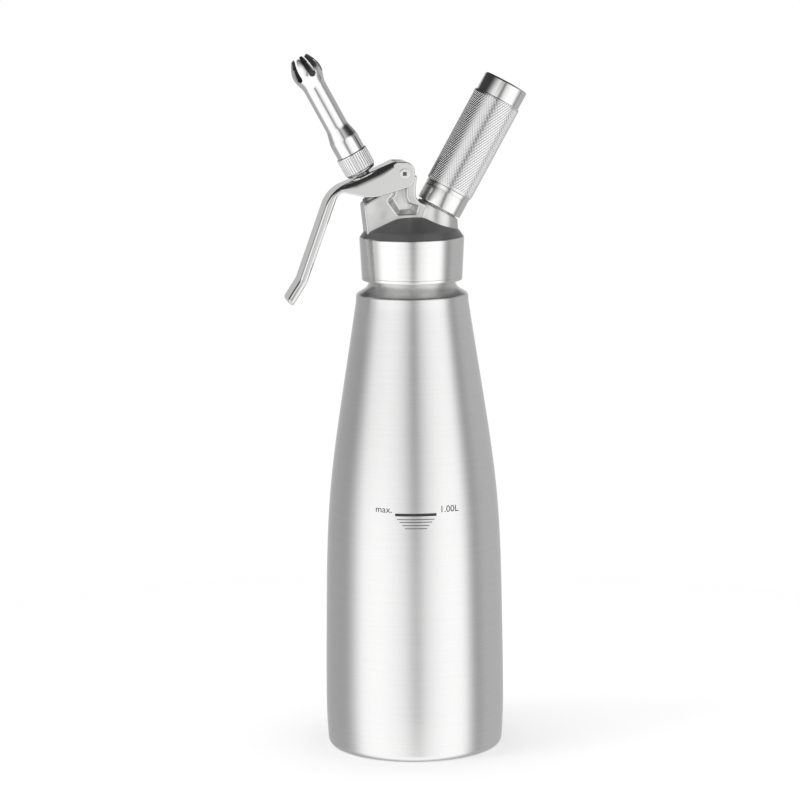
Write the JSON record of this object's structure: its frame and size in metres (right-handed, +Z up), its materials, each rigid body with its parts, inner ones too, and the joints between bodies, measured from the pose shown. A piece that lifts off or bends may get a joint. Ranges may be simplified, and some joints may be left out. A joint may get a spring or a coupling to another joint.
{
  "type": "whipped cream dispenser",
  "caption": "Gas-charged whipped cream dispenser: brushed steel bottle, screw-on head with squeeze lever, tilted valve with tulip nozzle, and knurled charger holder.",
  "frame": {"origin": "centre of the bottle's flat base, on the surface that it stands on", "axes": "+Z up the bottle's axis; the nozzle and lever lean towards -X, the charger holder towards +X, the front faces -Y"},
  "size_m": [0.1351, 0.1, 0.3883],
  "materials": {
    "brushed_steel": "satin, brushed round the axis",
    "turned_steel": "turned",
    "cast_metal": "matt, fine blasted steel casting",
    "satin_steel": "satin, stamped sheet",
    "polished_steel": "polished",
    "nozzle_chrome": "bright polished",
    "silicone": "soft, matt",
    "spring_steel": "drawn wire",
    "brass": "turned",
    "charger_steel": "zinc plated"
  },
  "bodies": {
    "bottle": {"bottle_body": "brushed_steel", "bottle_neck_ring": "turned_steel"},
    "gasket": {"head_gasket": "silicone"},
    "head": {"head_casting": "cast_metal", "head_collar": "brushed_steel", "head_thread_ring": "turned_steel", "valve_gland": "nozzle_chrome", "valve_o_ring": "silicone", "valve_washer": "turned_steel", "valve_spring": "spring_steel", "gas_valve_body": "brass", "piercing_pin": "polished_steel", "charger_seal": "silicone", "poppet_spring": "spring_steel"},
    "lever": {"lever": "satin_steel", "lever_pin": "polished_steel", "lever_pin_nut": "polished_steel"},
    "stem": {"valve_stem": "turned_steel", "valve_seal": "silicone", "valve_seal_nut": "turned_steel", "stem_clip": "turned_steel", "thrust_nut": "turned_steel", "stem_collar": "turned_steel"},
    "nozzle_seal": {"nozzle_gasket": "silicone"},
    "nozzle": {"nozzle_tube": "nozzle_chrome", "nozzle_ring": "nozzle_chrome"},
    "charger": {"gas_charger": "charger_steel"},
    "holder": {"charger_holder": "polished_steel"},
    "poppet": {"gas_valve_poppet": "brass"}
  },
  "joints": [
    {"name": "head_lift", "type": "slide", "parent": "bottle", "child": "gasket", "axis": [0, 0, 1], "range_m": [0, 0.012]},
    {"name": "head_turn", "type": "hinge", "parent": "gasket", "child": "head", "pos_m": [0, 0, 0.28], "axis": [0, 0, 1], "range_deg": [0, 1081]},
    {"name": "lever_squeeze", "type": "hinge", "parent": "head", "child": "lever", "pos_m": [-0.0053, 0, 0.3233], "axis": [0, -1, 0], "range_deg": [0, 12.01]},
    {"name": "valve_press", "type": "slide", "parent": "head", "child": "stem", "axis": [0.4756, 0, -0.8796], "range_m": [0, 0.00415], "stiffness_N_per_m": 140, "springref_m": -0.02, "deforming": ["valve_spring"]},
    {"name": "nozzle_lift", "type": "slide", "parent": "stem", "child": "nozzle_seal", "axis": [-0.4756, 0, 0.8796], "range_m": [0, 0.009]},
    {"name": "nozzle_turn", "type": "hinge", "parent": "nozzle_seal", "child": "nozzle", "pos_m": [0, 0, 0.2726], "axis": [-0.4756, 0, 0.8796], "range_deg": [0, 2161]},
    {"name": "holder_lift", "type": "slide", "parent": "head", "child": "charger", "axis": [0.4879, 0, 0.8729], "range_m": [0, 0.009]},
    {"name": "holder_turn", "type": "hinge", "parent": "charger", "child": "holder", "pos_m": [0, 0, 0.2763], "axis": [0.4879, 0, 0.8729], "range_deg": [0, 1441]},
    {"name": "gas_valve", "type": "slide", "parent": "head", "child": "poppet", "axis": [-0.4879, 0, -0.8729], "range_m": [0, 0.0015], "stiffness_N_per_m": 74, "springref_m": -0.0005, "deforming": ["poppet_spring"]}
  ],
  "couplings": [
    {"joint": "head_turn", "follows": "head_lift", "rad_per_m": 1570.8},
    {"joint": "lever_squeeze", "follows": "valve_press", "rad_per_m": 50.515},
    {"joint": "nozzle_turn", "follows": "nozzle_lift", "rad_per_m": 4188.8},
    {"joint": "holder_turn", "follows": "holder_lift", "rad_per_m": 2792.5}
  ]
}
